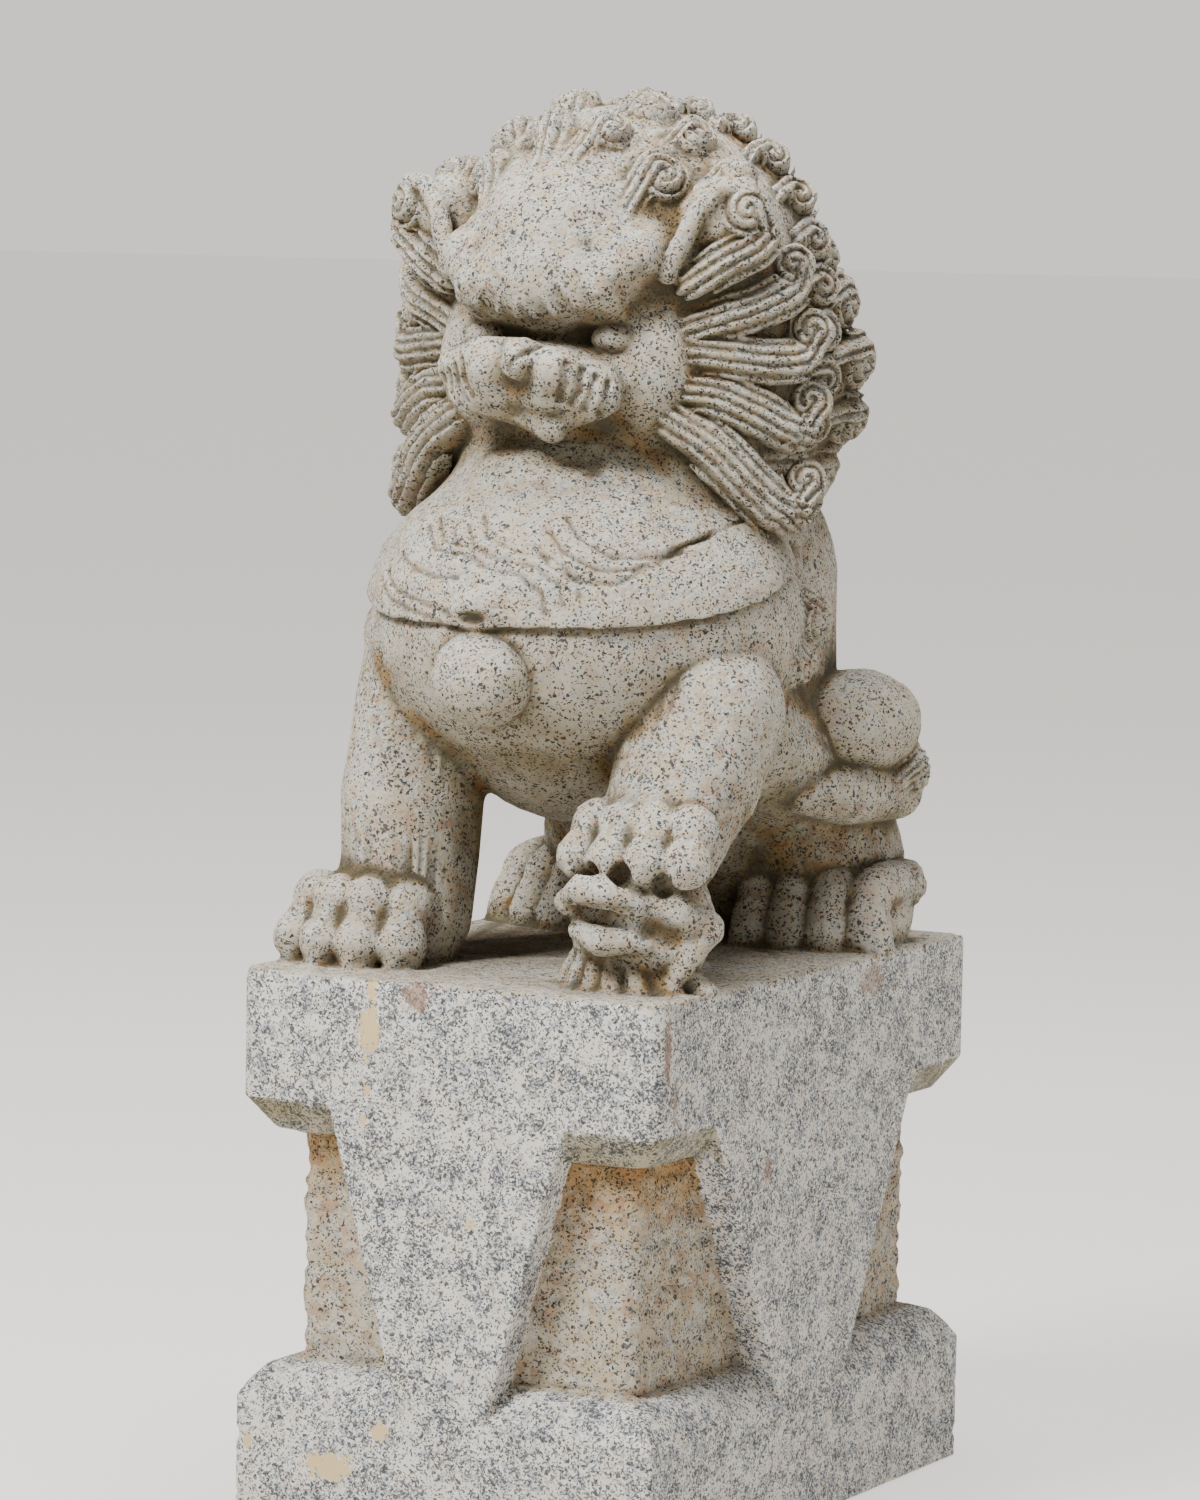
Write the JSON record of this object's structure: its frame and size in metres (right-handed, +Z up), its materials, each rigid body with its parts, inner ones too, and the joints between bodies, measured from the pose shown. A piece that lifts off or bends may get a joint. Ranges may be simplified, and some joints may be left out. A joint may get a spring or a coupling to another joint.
{
  "type": "granite guardian lion statue",
  "caption": "Seated guardian lion with a curled mane, a forepaw on a cub's head, carved in one block with a recessed rectangular plinth.",
  "frame": {"origin": "middle of the plinth's flat underside", "axes": "+Z up, the lion looks along -Y, +X is the lion's left"},
  "size_m": [0.2454, 0.33, 0.6972],
  "materials": {
    "granite": "speckled pale grey granite, chiselled on the lion and sawn on the plinth faces"
  },
  "bodies": {
    "root": {"guardian_lion_statue": "granite"}
  },
  "joints": []
}
